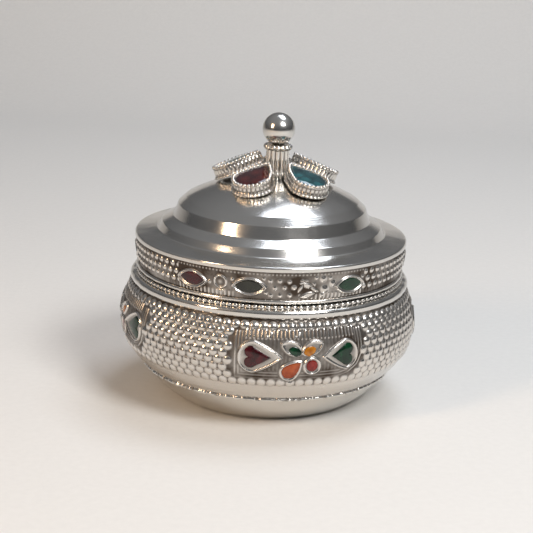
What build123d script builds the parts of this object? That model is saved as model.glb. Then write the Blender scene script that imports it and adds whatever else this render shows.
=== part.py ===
from build123d import *
import math
import os

# Kumkum box in polished German silver, set with coloured stones, in millimetres.
# It stands on Z = 0 with its axis on +Z. Angles go about the axis from the front,
# which is -Y, and grow towards +X.

# Bottom pan, spun from sheet
foot_radius = 20.0
foot_step = 0.3
foot_step_radius = 17.5
pan_bulge = 0.65
pan_sheet = 0.8
seam_height = 7.0

# Embossed bowl wall, an arc in section
belly_radius = 32.0
belly_height = 17.3
belly_curve = 13.1
wall_sheet = 0.8
wall_top = 25.0

# Wires and rings soldered to the bowl. An inset is how far a piece's outside lies
# inside the belly
seam_wire_radius = 0.4
seam_wire_out = 0.2
shoulder_inset = 1.8
shoulder_radius = belly_radius - shoulder_inset
shoulder_height = 1.9
shoulder_top = wall_top + shoulder_height
shoulder_round = 0.8

# Plain neck that the lid's band slides over
neck_inset = 4.7
neck_radius = belly_radius - neck_inset
neck_sheet = 0.6
neck_above_shoulder = 6.3
neck_top = shoulder_top + neck_above_shoulder
neck_below_shoulder = 1.6
neck_rim_round = 0.24

# Milled wire on the shoulder, just outside the neck
milled_wire_height = 0.7
milled_wire_width = 0.8
milled_wire_gap = 0.9
milled_wire_round = 0.28
milled_wire_radius = neck_radius + milled_wire_gap + milled_wire_width / 2

# Stone cells: how far they stand out of the sheet and how deep a stone is let in
cell_height = 0.4
stone_depth = 0.2
stone_height = 0.3
stone_clearance = 0.03

# Ornament panels round the bowl, measured from each panel's middle
panel_count = 4
panel_angle = 13.3
heart_height = 17.8
garnet_cell = (9.2, 6.6)
garnet_stone = (5.4, 3.9)
garnet_cell_across = -8.5
garnet_stone_across = -9.0
green_cell = (8.2, 6.4)
green_stone = (4.9, 4.4)
green_cell_across = 8.2
green_stone_across = 8.7
wing_cell = (5.2, 2.9)
wing_cell_across = 2.1
wing_cell_height = 19.7
wing_tilt = 24.0
leaf_stone = (2.8, 1.9)
leaf_stone_across = 1.5
leaf_stone_height = 19.1
drop_cell = (5.6, 4.0)
drop_stone = (4.6, 3.0)
drop_across = -2.0
drop_height = 15.3
drop_tilt = 42.0
dot_cell_radius = 1.9
dot_stone_radius = 1.2
dot_across = 2.1
dot_height = 16.0

# Lid band, a slightly flared strip with a little play round the neck
band_sheet = 0.6
band_play = 0.6
band_flare = 0.7
band_height = 5.8
band_bottom_radius = neck_radius + band_play + band_sheet
band_top_radius = band_bottom_radius + band_flare
band_panel_count = 3
marquise_cell = (7.4, 3.9)
marquise_stone = (5.7, 2.7)
marquise_above_edge = 2.6
marquise_angles = {"red": -32.5, "olive": -7.8, "green": 34.6}

# Rolled wire along the band's lower edge, and the gap under the closed lid
lid_gap = 0.3
edge_wire_height = 0.9
edge_wire_width = 1.1
edge_wire_round = 0.35

edge_wire_bottom = shoulder_top + milled_wire_height + lid_gap
band_bottom = edge_wire_bottom + edge_wire_height

# Stepped lid dome, given by the corners of its steps as radius and height above its rim
rim_overhang = 0.2
rim_radius = band_top_radius + rim_overhang
rim_bottom = band_bottom + band_height
rim_height = 1.0
flange_inner = (24.6, rim_bottom + 1.7)
lower_ridge = (23.7, rim_bottom + 3.3)
lower_ledge = (21.2, rim_bottom + 4.5)
upper_ridge = (20.3, rim_bottom + 7.1)
crown_edge = (18.6, rim_bottom + 8.6)
crown_sphere_radius = 38.8
crown_flat_radius = 4.0
dome_sheet = 0.7
step_round = 0.45

# Flower of five stone settings round the finial. A petal's lift is how far its underside,
# carried on to the finial's axis, lies above the crown. The photo's flower and finial are
# soldered a little to the right of the lid's middle
finial_shift = 0.7
petal_count = 5
petal_angle = -30.0
petal_size = (11.2, 8.4)
petal_start = 3.1
petal_height = 2.5
petal_wall = 0.55
petal_tilts = [17.0, 17.0, 24.0, 18.0, 24.0]
petal_lifts = [2.1, 2.1, 3.95, 2.3, 4.3]
petal_foot = (0.25, 0.45)
petal_stone_depth = 1.0
petal_stone_rise = 0.35
petal_stone_taper = 50.0
petal_back_depth = 1.1
petal_shelf = 0.5

# Finial: a ball on a fluted collet, held by a screw and a nut under the lid
collet_radius = 2.55
collet_height = 7.15
collet_ring_radius = 2.85
collet_ring_height = 0.7
flute_count = 14
flute_radius = 0.3
ball_radius = 3.5
ball_sink = 0.2
screw_radius = 1.0
screw_clearance = 0.05
screw_in_ball = 2.6
nut_across_flats = 4.0
nut_height = 1.4
screw_below_nut = 0.4

belly_centre_radius = belly_radius - belly_curve
crown_centre = crown_edge[1] - math.sqrt(crown_sphere_radius**2 - crown_edge[0] ** 2)
crown_top = crown_centre + math.sqrt(crown_sphere_radius**2 - crown_flat_radius**2)
collet_top = crown_top + collet_height
ball_height = collet_top + ball_radius - ball_sink
screw_bottom = crown_top - dome_sheet - nut_height - screw_below_nut
screw_top = collet_top + screw_in_ball


def wall_radius(height, out=0.0):
    """Radius of the bowl wall at a height, for a surface this far outside it."""
    rise = height - belly_height
    return belly_centre_radius + math.sqrt((belly_curve + out) ** 2 - rise**2)


wall_steps = 8
wall_heights = [seam_height + (wall_top - seam_height) * k / wall_steps for k in range(wall_steps + 1)]


def wall_section(inner, outer):
    """Section of the bowl wall between two surfaces, each given by its distance out."""
    with BuildLine() as outline:
        outside = Spline(*[(wall_radius(height, outer), height) for height in wall_heights])
        inside = Spline(*[(wall_radius(height, inner), height) for height in wall_heights])
        Line(outside @ 0, inside @ 0)
        Line(outside @ 1, inside @ 1)
    make_face(outline.edges())


def band_radius(height, out=0.0):
    """Radius of the lid band at a height, for a surface this far outside it."""
    flare = (band_top_radius - band_bottom_radius) / (rim_bottom - band_bottom)
    return band_bottom_radius + out + flare * (height - band_bottom)


def band_section(inner, outer):
    """Section of the lid band between two surfaces, each given by its distance out."""
    with BuildLine() as outline:
        Polyline(
            (band_radius(band_bottom, inner), band_bottom),
            (band_radius(band_bottom, outer), band_bottom),
            (band_radius(rim_bottom, outer), rim_bottom),
            (band_radius(rim_bottom, inner), rim_bottom),
            close=True,
        )
    make_face(outline.edges())


def side_plane(angle, height, distance, tilt=0.0):
    """Plane facing outward at an angle about the axis, X along the wall turned up by tilt."""
    turn = math.radians(angle)
    outward = Vector(math.sin(turn), -math.cos(turn), 0)
    level = Vector(math.cos(turn), math.sin(turn), 0)
    up = Vector(0, 0, 1)
    along = level * math.cos(math.radians(tilt)) + up * math.sin(math.radians(tilt))
    return Plane(origin=outward * distance + up * height, x_dir=along, z_dir=outward)


def heart(length, width, tip):
    """Heart outline about its middle, its tip along X towards +1 or -1."""
    with BuildLine() as outline:
        side = Line((tip * length / 2, 0), (-tip * length * 0.12, width / 2))
        lobe_end = (-tip * length * 0.36, 0)
        ThreePointArc(side @ 1, (-tip * length / 2, width * 0.27), lobe_end)
        mirror(about=Plane.XZ)
    make_face(outline.edges())


def leaf(length, width):
    """Pointed oval about its middle."""
    with BuildLine() as outline:
        ThreePointArc((-length / 2, 0), (0, width / 2), (length / 2, 0))
        mirror(about=Plane.XZ)
    make_face(outline.edges())


def pear(length, width):
    """Pear outline with its tip at the origin and its round end along X."""
    with BuildLine() as outline:
        round_start = (length - width / 2, width / 2)
        ThreePointArc((0, 0), (length * 0.33, width * 0.34), round_start)
        ThreePointArc(round_start, (length - 0.02 * width, 0.14 * width), (length, 0))
        mirror(about=Plane.XZ)
    make_face(outline.edges())


def drop(length, width, tip):
    """Drop outline about its middle, its tip along X towards +1 or -1."""
    with BuildLine() as outline:
        shoulder = (-tip * (length - width) / 2, width / 2)
        ThreePointArc((tip * length / 2, 0), (tip * length * 0.18, width * 0.36), shoulder)
        ThreePointArc(shoulder, (-tip * (length / 2 - 0.08 * width), width * 0.27), (-tip * length / 2, 0))
        mirror(about=Plane.XZ)
    make_face(outline.edges())


# The stones of one bowl panel: name, how far across and how high its middle is,
# its tilt, and functions that draw its cell and its stone
panel_stones = [
    (
        "garnet_heart",
        (garnet_cell_across, garnet_stone_across),
        (heart_height, heart_height),
        0,
        lambda: heart(*garnet_cell, 1),
        lambda gap: heart(garnet_stone[0] + gap, garnet_stone[1] + gap, 1),
    ),
    (
        "green_heart",
        (green_cell_across, green_stone_across),
        (heart_height, heart_height),
        0,
        lambda: heart(*green_cell, -1),
        lambda gap: heart(green_stone[0] + gap, green_stone[1] + gap, -1),
    ),
    (
        "green_leaf",
        (-wing_cell_across, -leaf_stone_across),
        (wing_cell_height, leaf_stone_height),
        -wing_tilt,
        lambda: leaf(*wing_cell),
        lambda gap: leaf(leaf_stone[0] + gap, leaf_stone[1] + gap),
    ),
    (
        "amber_leaf",
        (wing_cell_across, leaf_stone_across),
        (wing_cell_height, leaf_stone_height),
        wing_tilt,
        lambda: leaf(*wing_cell),
        lambda gap: leaf(leaf_stone[0] + gap, leaf_stone[1] + gap),
    ),
    (
        "orange_drop",
        (drop_across, drop_across),
        (drop_height, drop_height),
        drop_tilt,
        lambda: drop(*drop_cell, 1),
        lambda gap: drop(drop_stone[0] + gap, drop_stone[1] + gap, 1),
    ),
    (
        "red_dot",
        (dot_across, dot_across),
        (dot_height, dot_height),
        0,
        lambda: Circle(dot_cell_radius),
        lambda gap: Circle(dot_stone_radius + gap / 2),
    ),
]
panel_angles = [panel_angle + 360 / panel_count * k for k in range(panel_count)]
# Outlines are extruded from this far inside the skin, to well outside it
prism_margin = 4
prism_length = 6
prism_start = belly_radius - prism_margin


def panel_plane(middle, across, height, tilt):
    """Plane for one outline of a bowl panel, inside the wall and facing out."""
    angle = middle + math.degrees(across / belly_radius)
    return side_plane(angle, height, prism_start, tilt)


# Bottom pan: a shallow spun dish with a flat foot and a slightly raised middle
with BuildPart() as bottom_pan:
    with BuildSketch(Plane.XZ):
        with BuildLine():
            seam_edge = (wall_radius(seam_height), seam_height)
            middle = ((foot_radius + seam_edge[0]) / 2, seam_height / 2)
            lean = math.atan2(seam_height, seam_edge[0] - foot_radius)
            bowed = (
                middle[0] + pan_bulge * math.sin(lean),
                middle[1] - pan_bulge * math.cos(lean),
            )
            ThreePointArc((foot_radius, 0), bowed, seam_edge)
            Polyline(seam_edge, (0, seam_height), (0, 0), (foot_radius, 0))
        make_face()
    revolve(axis=Axis.Z)
    offset(amount=-pan_sheet, openings=bottom_pan.faces().sort_by(Axis.Z)[-1])
    with BuildSketch(Plane.XY):
        Circle(foot_step_radius)
    extrude(amount=foot_step, mode=Mode.SUBTRACT)
bottom_pan.part.label = "bottom_pan"

# Shells of revolution that give the cells, their pockets and the stones the wall's curve
with BuildPart() as cell_shell:
    with BuildSketch(Plane.XZ):
        wall_section(-wall_sheet / 2, cell_height)
    revolve(axis=Axis.Z)

with BuildPart() as pocket_shell:
    with BuildSketch(Plane.XZ):
        wall_section(-stone_depth, cell_height + 1)
    revolve(axis=Axis.Z)

with BuildPart() as stone_shell:
    with BuildSketch(Plane.XZ):
        wall_section(-stone_depth, stone_height)
    revolve(axis=Axis.Z)

def curved_piece(plane, draw, shell):
    """Solid with a drawn outline that follows the wall between the shell's two faces."""
    with BuildPart() as piece:
        with BuildSketch(plane):
            draw()
        extrude(amount=prism_length)
        add(shell.part, mode=Mode.INTERSECT)
    return piece.part


# Raised cells, the pockets that the stones sit in, and the stones, one piece each
bowl_cells = []
bowl_pockets = []
bowl_stones = []
for panel, middle in enumerate(panel_angles, start=1):
    for name, across, height, tilt, draw_cell, draw_stone in panel_stones:
        cell_plane = panel_plane(middle, across[0], height[0], tilt)
        stone_plane = panel_plane(middle, across[1], height[1], tilt)
        bowl_cells.append(curved_piece(cell_plane, draw_cell, cell_shell))
        bowl_pockets.append(
            curved_piece(stone_plane, lambda: draw_stone(2 * stone_clearance), pocket_shell)
        )
        stone = curved_piece(stone_plane, lambda: draw_stone(0), stone_shell)
        stone.label = f"{name}_{panel}"
        bowl_stones.append(stone)

# Bowl wall: the pressed strip with its cells
with BuildPart() as bowl_wall:
    with BuildSketch(Plane.XZ):
        wall_section(-wall_sheet, 0)
    revolve(axis=Axis.Z)
    for cell in bowl_cells:
        add(cell)
    for pocket in bowl_pockets:
        add(pocket, mode=Mode.SUBTRACT)
bowl_wall.part.label = "bowl_wall"

# Wire that covers the seam between the pan and the wall
with BuildPart() as seam_wire:
    with BuildSketch(Plane.XZ):
        with Locations((wall_radius(seam_height) + seam_wire_out, seam_height)):
            Circle(seam_wire_radius)
    revolve(axis=Axis.Z)
seam_wire.part.label = "seam_wire"

# Half-round ring that caps the wall and carries the neck
with BuildPart() as shoulder_ring:
    with BuildSketch(Plane.XZ):
        with BuildLine():
            Polyline(
                (neck_radius, wall_top),
                (shoulder_radius, wall_top),
                (shoulder_radius, shoulder_top),
                (neck_radius, shoulder_top),
                close=True,
            )
        make_face()
    revolve(axis=Axis.Z)
    outer_edges = shoulder_ring.edges().filter_by(GeomType.CIRCLE).group_by(SortBy.RADIUS)[-1]
    fillet(outer_edges, shoulder_round)
shoulder_ring.part.label = "shoulder_ring"

# Milled wire on the shoulder, under the lid's edge
with BuildPart() as milled_wire:
    with BuildSketch(Plane.XY.offset(shoulder_top)):
        Circle(milled_wire_radius + milled_wire_width / 2)
        Circle(milled_wire_radius - milled_wire_width / 2, mode=Mode.SUBTRACT)
    extrude(amount=milled_wire_height)
    top_edges = milled_wire.edges().filter_by(GeomType.CIRCLE).group_by(Axis.Z)[-1]
    fillet(top_edges, milled_wire_round)
milled_wire.part.label = "milled_wire"

# Neck sleeve
neck_bottom = wall_top - neck_below_shoulder
with BuildPart() as neck_sleeve:
    with BuildSketch(Plane.XY.offset(neck_bottom)):
        Circle(neck_radius)
        Circle(neck_radius - neck_sheet, mode=Mode.SUBTRACT)
    extrude(amount=neck_top - neck_bottom)
    rim_edges = neck_sleeve.edges().filter_by(GeomType.CIRCLE).group_by(Axis.Z)[-1]
    fillet(rim_edges, neck_rim_round)
neck_sleeve.part.label = "neck_sleeve"

# Lid dome: flange, two steps and a rounded crown
step_corners = [lower_ridge, lower_ledge, upper_ridge, crown_edge]


def dome_side(start, shift):
    """Line up the steps and over the crown, moved in and down by shift."""
    corners = [(radius - shift, height - shift) for radius, height in step_corners]
    steps = FilletPolyline(*start, *corners, radius=step_round)
    middle_radius = (crown_edge[0] + crown_flat_radius) / 2
    middle_height = crown_centre + math.sqrt(crown_sphere_radius**2 - middle_radius**2)
    crown = ThreePointArc(
        corners[-1],
        (middle_radius - shift, middle_height - shift),
        (crown_flat_radius - shift, crown_top - shift),
    )
    Line(crown @ 1, (0, crown_top - shift))
    return steps @ 0


with BuildPart() as lid_dome:
    with BuildSketch(Plane.XZ):
        with BuildLine():
            rim_corners = [
                (rim_radius, rim_bottom),
                (rim_radius, rim_bottom + rim_height),
                flange_inner,
            ]
            outside = dome_side(rim_corners, 0)
            inside = dome_side([(flange_inner[0] - dome_sheet, rim_bottom)], dome_sheet)
            Line(outside, inside)
            Line((0, crown_top), (0, crown_top - dome_sheet))
        make_face()
    revolve(axis=Axis.Z)
    with Locations((finial_shift, 0, crown_top)):
        Hole(screw_radius + screw_clearance, depth=dome_sheet)
lid_dome.part.label = "lid_dome"

# Lid band with its cells
band_stone_places = []
for panel in range(band_panel_count):
    for colour, angle in marquise_angles.items():
        place = (f"{colour}_marquise_{panel + 1}", angle + 360 / band_panel_count * panel)
        band_stone_places.append(place)
marquise_height = edge_wire_bottom + edge_wire_height + marquise_above_edge
band_prism_start = band_bottom_radius - prism_margin
band_prism_length = prism_length + prism_margin

with BuildPart() as band_cells:
    for name, angle in band_stone_places:
        with BuildSketch(side_plane(angle, marquise_height, band_prism_start)):
            leaf(*marquise_cell)
        extrude(amount=band_prism_length)
    with BuildSketch(Plane.XZ):
        band_section(-band_sheet / 2, cell_height)
    revolve(axis=Axis.Z, mode=Mode.INTERSECT)

with BuildPart() as band_pockets:
    for name, angle in band_stone_places:
        with BuildSketch(side_plane(angle, marquise_height, band_prism_start)):
            leaf(marquise_stone[0] + 2 * stone_clearance, marquise_stone[1] + 2 * stone_clearance)
        extrude(amount=band_prism_length)
    with BuildSketch(Plane.XZ):
        band_section(-stone_depth, cell_height + 1)
    revolve(axis=Axis.Z, mode=Mode.INTERSECT)

with BuildPart() as lid_band:
    with BuildSketch(Plane.XZ):
        band_section(-band_sheet, 0)
    revolve(axis=Axis.Z)
    add(band_cells.part)
    add(band_pockets.part, mode=Mode.SUBTRACT)
lid_band.part.label = "lid_band"

band_stones = []
for name, angle in band_stone_places:
    with BuildPart() as stone:
        with BuildSketch(side_plane(angle, marquise_height, band_prism_start)):
            leaf(*marquise_stone)
        extrude(amount=band_prism_length)
        with BuildSketch(Plane.XZ):
            band_section(-stone_depth, stone_height)
        revolve(axis=Axis.Z, mode=Mode.INTERSECT)
    stone.part.label = name
    band_stones.append(stone.part)

# Rolled wire along the band's lower edge
with BuildPart() as lid_edge_wire:
    wire_inner_radius = band_bottom_radius - band_sheet
    with BuildSketch(Plane.XY.offset(edge_wire_bottom)):
        Circle(wire_inner_radius + edge_wire_width)
        Circle(wire_inner_radius, mode=Mode.SUBTRACT)
    extrude(amount=edge_wire_height)
    wire_edges = lid_edge_wire.edges().filter_by(GeomType.CIRCLE).group_by(SortBy.RADIUS)[-1]
    fillet(wire_edges, edge_wire_round)
lid_edge_wire.part.label = "lid_edge_wire"


def finial_plane(height):
    """Level plane at a height with its origin on the finial's own axis."""
    return Plane(origin=(finial_shift, 0, height))


# Finial collet: a fluted tube with a ring under the ball
with BuildPart() as finial_collet:
    with BuildSketch(finial_plane(crown_top)):
        Circle(collet_radius)
        with PolarLocations(collet_radius, flute_count):
            Circle(flute_radius, mode=Mode.SUBTRACT)
    extrude(amount=collet_top - collet_ring_height - crown_top)
    with BuildSketch(finial_plane(collet_top - collet_ring_height)):
        Circle(collet_ring_radius)
    extrude(amount=collet_ring_height)
    with Locations((finial_shift, 0, collet_top)):
        Hole(screw_radius + screw_clearance)
finial_collet.part.label = "finial_collet"

# Finial ball, flat where it sits on the collet and bored for the screw
with BuildPart() as finial_ball:
    with Locations((finial_shift, 0, ball_height)):
        Sphere(ball_radius)
    split(bisect_by=Plane.XY.offset(collet_top), keep=Keep.TOP)
    with Locations(Plane(origin=(finial_shift, 0, collet_top), z_dir=(0, 0, -1))):
        Hole(screw_radius, depth=screw_in_ball)
finial_ball.part.label = "finial_ball"

# Screw from the nut up into the ball
with BuildPart() as finial_screw:
    with BuildSketch(finial_plane(screw_bottom)):
        Circle(screw_radius)
    extrude(amount=screw_top - screw_bottom)
finial_screw.part.label = "finial_screw"

# Nut under the crown
with BuildPart() as finial_nut:
    with BuildSketch(finial_plane(crown_top - dome_sheet - nut_height)):
        RegularPolygon(nut_across_flats / 2, 6, major_radius=False)
        Circle(screw_radius, mode=Mode.SUBTRACT)
    extrude(amount=nut_height)
finial_nut.part.label = "finial_nut"


def petal_plane(index, lift):
    """Underside plane of a petal, raised square to itself, X along the petal."""
    turn = math.radians(petal_angle + 360 / petal_count * index)
    dip = math.radians(petal_tilts[index])
    outward = Vector(math.sin(turn), -math.cos(turn), 0)
    along = outward * math.cos(dip) - Vector(0, 0, math.sin(dip))
    normal = outward * math.sin(dip) + Vector(0, 0, math.cos(dip))
    root = Vector(finial_shift, 0, crown_top + petal_lifts[index]) + along * petal_start
    return Plane(origin=root + normal * lift, x_dir=along, z_dir=normal)


# Five pear-shaped settings with their stones
petal_bezels = []
petal_stones = []
for index in range(petal_count):
    with BuildPart() as bezel:
        with BuildSketch(petal_plane(index, 0)):
            pear(*petal_size)
        extrude(amount=petal_height)
        with BuildSketch(petal_plane(index, 0)):
            pear(*petal_size)
            offset(amount=petal_foot[0])
        extrude(amount=petal_foot[1])
        with BuildSketch(petal_plane(index, petal_height - petal_stone_depth)):
            pear(*petal_size)
            offset(amount=-petal_wall)
        extrude(amount=petal_stone_depth, mode=Mode.SUBTRACT)
        with BuildSketch(petal_plane(index, 0)):
            pear(*petal_size)
            offset(amount=-petal_wall - petal_shelf)
        extrude(amount=petal_back_depth, mode=Mode.SUBTRACT)
    bezel.part.label = f"petal_bezel_{index + 1}"
    petal_bezels.append(bezel.part)

    with BuildPart() as stone:
        with BuildSketch(petal_plane(index, petal_height - petal_stone_depth)):
            pear(*petal_size)
            offset(amount=-petal_wall - stone_clearance)
        extrude(amount=petal_stone_depth)
        with BuildSketch(petal_plane(index, petal_height)):
            pear(*petal_size)
            offset(amount=-petal_wall - stone_clearance)
        extrude(amount=petal_stone_rise, taper=petal_stone_taper)
    stone.part.label = f"petal_stone_{index + 1}"
    petal_stones.append(stone.part)

pieces = [
    bottom_pan.part,
    bowl_wall.part,
    seam_wire.part,
    shoulder_ring.part,
    milled_wire.part,
    neck_sleeve.part,
    *bowl_stones,
    lid_dome.part,
    lid_band.part,
    lid_edge_wire.part,
    *band_stones,
    *petal_bezels,
    *petal_stones,
    finial_collet.part,
    finial_ball.part,
    finial_screw.part,
    finial_nut.part,
]

os.makedirs("parts", exist_ok=True)
for piece in pieces:
    export_step(piece, f"parts/{piece.label}.step")
print(len(pieces), "pieces, height", ball_height + ball_radius, "width", 2 * (belly_radius + cell_height))
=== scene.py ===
# %% [markdown]
# # A lidded kumkum box in German silver
#
# The real box is small, 64 mm across. Its bowl wall and lid band are thin strips of nickel
# silver, pressed in a die with rows of beads and flower panels, and its domed lid, foot and
# ball are spun or turned and polished. Coloured enamel sits in the panels, and glass stones
# in beaded settings make a flower round the ball.
#
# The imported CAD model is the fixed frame. Every piece that shows on the shut box is made here as
# a finer mesh on the same radii and heights, then it replaces its CAD node and rides on its
# body. Sizes are in millimetres, and angles in degrees from the front towards the right.

# %% Load the frame
import math

import bmesh
import bpy
import numpy as np
from mathutils import Matrix, Vector


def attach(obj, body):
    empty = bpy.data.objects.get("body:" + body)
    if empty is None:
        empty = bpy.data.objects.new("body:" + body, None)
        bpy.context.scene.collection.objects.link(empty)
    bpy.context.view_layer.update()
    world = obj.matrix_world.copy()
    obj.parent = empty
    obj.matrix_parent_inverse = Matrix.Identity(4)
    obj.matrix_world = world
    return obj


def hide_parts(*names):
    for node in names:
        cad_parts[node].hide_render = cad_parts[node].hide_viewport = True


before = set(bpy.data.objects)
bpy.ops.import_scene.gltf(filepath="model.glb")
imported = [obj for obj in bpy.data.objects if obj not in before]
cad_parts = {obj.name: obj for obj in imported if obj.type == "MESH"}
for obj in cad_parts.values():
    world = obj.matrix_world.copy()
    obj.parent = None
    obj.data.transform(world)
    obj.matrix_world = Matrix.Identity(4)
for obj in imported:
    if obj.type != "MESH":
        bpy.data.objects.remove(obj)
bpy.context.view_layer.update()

# %% [markdown]
# ## Camera
#
# The photo looks slightly down on the box, and the camera was tipped sideways by a few degrees.
# A camera is a place, a direction and a lens. The width of the photo at the box gives the lens,
# and the roll turns the camera's own up and right about the line of sight.

# %% Set the camera up
MM = 0.001
VIEW_DISTANCE = 300.0
VIEW_ELEVATION = math.radians(16.2)
VIEW_ROLL = math.radians(2.5)
VIEW_MIDDLE = Vector((0.0, 0.0, 25.0))
VIEW_AIM = Vector((-0.66, 0.0, 27.6))
VIEW_LENS = 92.2

stand = VIEW_MIDDLE + VIEW_DISTANCE * Vector((0, -math.cos(VIEW_ELEVATION), math.sin(VIEW_ELEVATION)))
back = (stand - VIEW_AIM).normalized()
level = Vector((0, 0, 1)).cross(back).normalized()
upright = back.cross(level)
right = level * math.cos(VIEW_ROLL) + upright * math.sin(VIEW_ROLL)
above = back.cross(right)
camera_data = bpy.data.cameras.new("camera")
camera_data.lens = VIEW_LENS
camera_data.clip_start = 10 * MM
camera = bpy.data.objects.new("camera", camera_data)
camera.matrix_world = Matrix.Translation(stand * MM) @ Matrix((right, above, back)).transposed().to_4x4()
bpy.context.scene.collection.objects.link(camera)
bpy.context.scene.camera = camera
bpy.context.scene.view_settings.view_transform = "Standard"
print("camera stands", [round(v, 1) for v in stand], "mm")

# %% [markdown]
# ## Colours and nodes
#
# Colours are written as they look on a screen, in sRGB hex, but a render adds up light, so one
# function turns them to linear values. Another adds a shader node, sets it and links it.

# %% Helpers for materials
# A Mix node has sockets for each kind of value, and these are its colour sockets
COLOUR_A, COLOUR_B, MIXED = 6, 7, 2
# Most of a noise lies between these two values, which are spread over the wanted range
NOISE_SPREAD = {"From Min": 0.3, "From Max": 0.7}


def colour(code):
    """Linear colour of an sRGB hex value such as #D8D5D0."""
    parts = [int(code[k : k + 2], 16) / 255 for k in (1, 3, 5)]
    linear = [p / 12.92 if p <= 0.04045 else ((p + 0.055) / 1.055) ** 2.4 for p in parts]
    return (*linear, 1.0)


def add_node(tree, kind, inputs, output=None, **settings):
    """Adds a node, sets it, gives its inputs values or links, and returns one of its outputs."""
    made = tree.nodes.new("ShaderNode" + kind)
    for name, value in settings.items():
        setattr(made, name, value)
    for socket, value in inputs.items():
        if isinstance(value, bpy.types.NodeSocket):
            tree.links.new(value, made.inputs[socket])
        else:
            made.inputs[socket].default_value = value
    return None if output is None else made.outputs[output]


def start_material(name):
    """New material, its node tree, and the place of each point on the piece that wears it."""
    material = bpy.data.materials.new(name)
    material.use_nodes = True
    tree = material.node_tree
    tree.nodes.clear()
    return material, tree, add_node(tree, "TexCoord", {}, "Object")


def per_mm(size):
    """Noise scale, in features per metre, for features of this size in millimetres."""
    return 1000.0 / size


print("helpers ready, silver is", [round(v, 3) for v in colour("#D8D5D0")])

# %% [markdown]
# ## German silver
#
# German silver is nickel silver: copper, nickel and zinc, a white metal a shade warmer than
# chrome. Metal has no colour of its own beyond what it reflects, so its looks come from three
# things. Its roughness says how sharp the reflections are. A bump too small to model bends
# them. And a brown film of tarnish stays in the hollows that the buffing wheel can't reach.
#
# Each mesh carries a number per point, called buffed, which is 0 in a hollow and 1 on top. The
# material mixes its tarnish by it. Painting it by hand would be slower and less even.

# %% Metal materials


def silver(name, bright, film, smooth, dull, tarnish, grain, marks=None):
    """German silver that is bright on top and filmed over in the hollows.

    smooth and dull are its lowest and highest roughness, tarnish how much film the hollows
    hold, grain the size of its polishing grain and marks the spacing of lathe marks, in mm.
    """
    material, tree, place = start_material(name)
    # Clouds of thinner and thicker film, 7 mm across
    clouds = {"Vector": place, "Scale": per_mm(7.0), "Detail": 5.0, "Roughness": 0.6}
    cloud = add_node(tree, "TexNoise", clouds, "Fac")
    spread = {"Value": cloud, **NOISE_SPREAD}
    patchy = add_node(tree, "MapRange", {**spread, "To Min": 0.5, "To Max": 1.2}, "Result")
    buffed = add_node(tree, "Attribute", {}, "Fac", attribute_name="buffed")
    hollow = add_node(
        tree,
        "MapRange",
        {"Value": buffed, "From Min": 0.0, "From Max": 0.85, "To Min": tarnish, "To Max": 0.0},
        "Result",
        interpolation_type="SMOOTHSTEP",
    )
    filmed = {0: hollow, 1: patchy}
    filmed = add_node(tree, "Math", filmed, "Value", operation="MULTIPLY", use_clamp=True)
    tints = {"Factor": filmed, COLOUR_A: colour(bright), COLOUR_B: colour(film)}
    tint = add_node(tree, "Mix", tints, MIXED, data_type="RGBA")
    # The film makes the metal rougher, by up to 0.25
    sheen = add_node(tree, "MapRange", {**spread, "To Min": smooth, "To Max": dull}, "Result")
    rough = {0: filmed, 1: 0.25, 2: sheen}
    rough = add_node(tree, "Math", rough, "Value", operation="MULTIPLY_ADD", use_clamp=True)
    # Three bumps one on another: grain, lathe marks, and the slow waves of hand polishing
    fine = {"Vector": place, "Scale": per_mm(grain), "Detail": 3.0}
    slow = {"Vector": place, "Scale": per_mm(9.0), "Detail": 1.0}
    reliefs = [
        (add_node(tree, "TexNoise", fine, "Fac"), 0.35, 0.012),
        (add_node(tree, "TexNoise", slow, "Fac"), 0.5, 0.25),
    ]
    if marks:
        # Wave rings repeat every 0.314 / scale, so this scale puts them one spacing apart
        rings = {"Vector": place, "Scale": 314.0 / marks, "Distortion": 2.0, "Detail": 2.0}
        lathe = add_node(tree, "TexWave", rings, "Fac", wave_type="RINGS", rings_direction="Z")
        reliefs.insert(1, (lathe, 0.3, 0.004))
    bump = {}
    for relief, strength, depth in reliefs:
        bump.update({"Height": relief, "Strength": strength, "Distance": depth * MM})
        bump["Normal"] = add_node(tree, "Bump", bump, "Normal")
    shader = {"Base Color": tint, "Metallic": 1.0, "Roughness": rough, "Normal": bump["Normal"]}
    shader = add_node(tree, "BsdfPrincipled", shader, "BSDF")
    add_node(tree, "OutputMaterial", {"Surface": shader})
    return material


# Spun on a lathe and polished: near-mirror, with faint rings from the tool
spun_silver = silver("spun_german_silver", "#DAD7D2", "#8C8178", 0.13, 0.22, 0.3, 0.5, marks=0.45)
# Pressed in a die and buffed: the bead tops shine, the grooves keep a brown-grey film
pressed_silver = silver("pressed_german_silver", "#DBD6D0", "#4E443C", 0.17, 0.28, 1.0, 0.35)
# Drawn wire and bead work, soldered on: brighter than the pressing, with dark joints
wire_silver = silver("soldered_silver_wire", "#DEDAD4", "#554A42", 0.14, 0.26, 0.9, 0.3)
print("metals", [m.name for m in (spun_silver, pressed_silver, wire_silver)])

# %% [markdown]
# ## Enamel and glass
#
# The coloured inlays are glossy enamel, filled by hand into the pressed cells, so each is a
# little uneven and darker where it lies deeper. The petals hold glass cabochons on a foil. Foil
# throws light back through the glass, so the middle glows in patches and the edge stays dark.
# Here that glow and that dark edge are painted into the glass's colour: painted light in the
# middle, painted shade at the edge.
# Clear glass over modelled foil would also work, but it is noisy at this size. A shader that
# mixes the dark and the lit colour looks the same and exports well.

# %% Enamel and glass materials


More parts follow.
